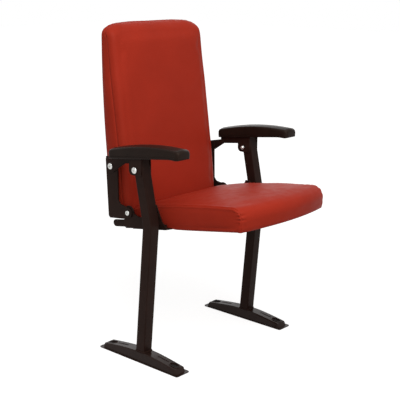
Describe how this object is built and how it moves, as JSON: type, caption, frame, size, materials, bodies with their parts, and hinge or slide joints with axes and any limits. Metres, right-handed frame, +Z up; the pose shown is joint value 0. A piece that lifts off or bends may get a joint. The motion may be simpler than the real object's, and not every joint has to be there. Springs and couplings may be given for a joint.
{
  "type": "tip up auditorium seat",
  "caption": "Padded tip-up seat with a tall curved back, arm pads and bent posts on slotted floor feet; the seat hinges up between its brackets.",
  "frame": {"origin": "on the floor, under the middle of the bounding box", "axes": "+Z up; the sitter faces -Y; +X to the sitter's left"},
  "size_m": [0.556, 0.5926, 1.008],
  "materials": {
    "coated_steel": "satin",
    "arm_plastic": "satin",
    "seat_vinyl": "satin",
    "bright_zinc": "satin",
    "plywood": "matte",
    "panel_plastic": "matte",
    "black_rubber": "matte",
    "white_nylon": "satin"
  },
  "bodies": {
    "frame": {"foot_left": "coated_steel", "post_left": "coated_steel", "arm_bracket_left": "coated_steel", "arm_pad_left": "arm_plastic", "back_upright_left": "coated_steel", "seat_bracket_left": "coated_steel", "seat_stop_sleeve_left": "black_rubber", "pivot_pin_left": "bright_zinc", "pivot_bush_left": "white_nylon", "back_bracket_left": "coated_steel", "back_spacer_left": "coated_steel", "post_bolt_left": "bright_zinc", "post_dome_nut_left": "bright_zinc", "back_top_bolt_left": "bright_zinc", "back_low_bolt_left": "bright_zinc", "back_low_nut_left": "bright_zinc", "arm_pad_screw_front_left": "bright_zinc", "arm_pad_screw_rear_left": "bright_zinc", "back_bracket_screw_lower_left": "bright_zinc", "back_bracket_screw_upper_left": "bright_zinc", "back_panel_screw_upper_left": "bright_zinc", "back_panel_screw_lower_left": "bright_zinc", "foot_right": "coated_steel", "post_right": "coated_steel", "arm_bracket_right": "coated_steel", "arm_pad_right": "arm_plastic", "back_upright_right": "coated_steel", "seat_bracket_right": "coated_steel", "seat_stop_sleeve_right": "black_rubber", "pivot_pin_right": "bright_zinc", "pivot_bush_right": "white_nylon", "back_bracket_right": "coated_steel", "back_spacer_right": "coated_steel", "post_bolt_right": "bright_zinc", "post_dome_nut_right": "bright_zinc", "back_top_bolt_right": "bright_zinc", "back_low_bolt_right": "bright_zinc", "back_low_nut_right": "bright_zinc", "arm_pad_screw_front_right": "bright_zinc", "arm_pad_screw_rear_right": "bright_zinc", "back_bracket_screw_lower_right": "bright_zinc", "back_bracket_screw_upper_right": "bright_zinc", "back_panel_screw_upper_right": "bright_zinc", "back_panel_screw_lower_right": "bright_zinc", "back_cushion": "seat_vinyl", "back_board": "plywood", "back_panel": "panel_plastic"},
    "seat": {"seat_cushion": "seat_vinyl", "seat_board": "plywood", "hinge_arm_left": "coated_steel", "hinge_screw_front_left": "bright_zinc", "hinge_screw_rear_left": "bright_zinc", "hinge_arm_right": "coated_steel", "hinge_screw_front_right": "bright_zinc", "hinge_screw_rear_right": "bright_zinc"}
  },
  "joints": [
    {"name": "seat_tip", "type": "hinge", "parent": "frame", "child": "seat", "pos_m": [0, 0.0847, 0.427], "axis": [-1, 0, 0], "range_deg": [0, 80]}
  ]
}
